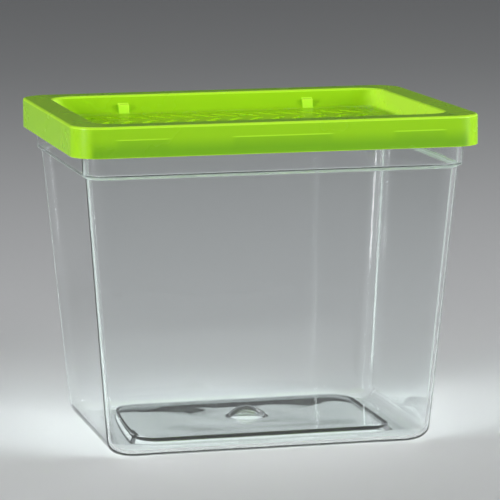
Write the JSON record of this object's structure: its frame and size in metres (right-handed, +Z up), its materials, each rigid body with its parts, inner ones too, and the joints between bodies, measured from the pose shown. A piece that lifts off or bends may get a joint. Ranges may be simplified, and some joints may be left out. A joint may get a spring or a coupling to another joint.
{
  "type": "cricket keeper box",
  "caption": "Clear tapered tub with a raised floor panel and a press-on recessed lid with slanted vent slots, for keeping feeder insects.",
  "frame": {"origin": "middle of the foot, on the surface that the tub stands on", "axes": "+Z up, +X along the width to the right, +Y to the back"},
  "size_m": [0.2, 0.158, 0.163],
  "materials": {
    "clear_tub": "clear polished, as moulded polystyrene",
    "green_lid": "glossy, slightly translucent"
  },
  "bodies": {
    "tub": {"tub": "clear_tub"},
    "lid": {"lid": "green_lid"}
  },
  "joints": [
    {"name": "lid_lift", "type": "slide", "parent": "tub", "child": "lid", "axis": [0, 0, 1], "range_m": [0, 0.06]}
  ]
}
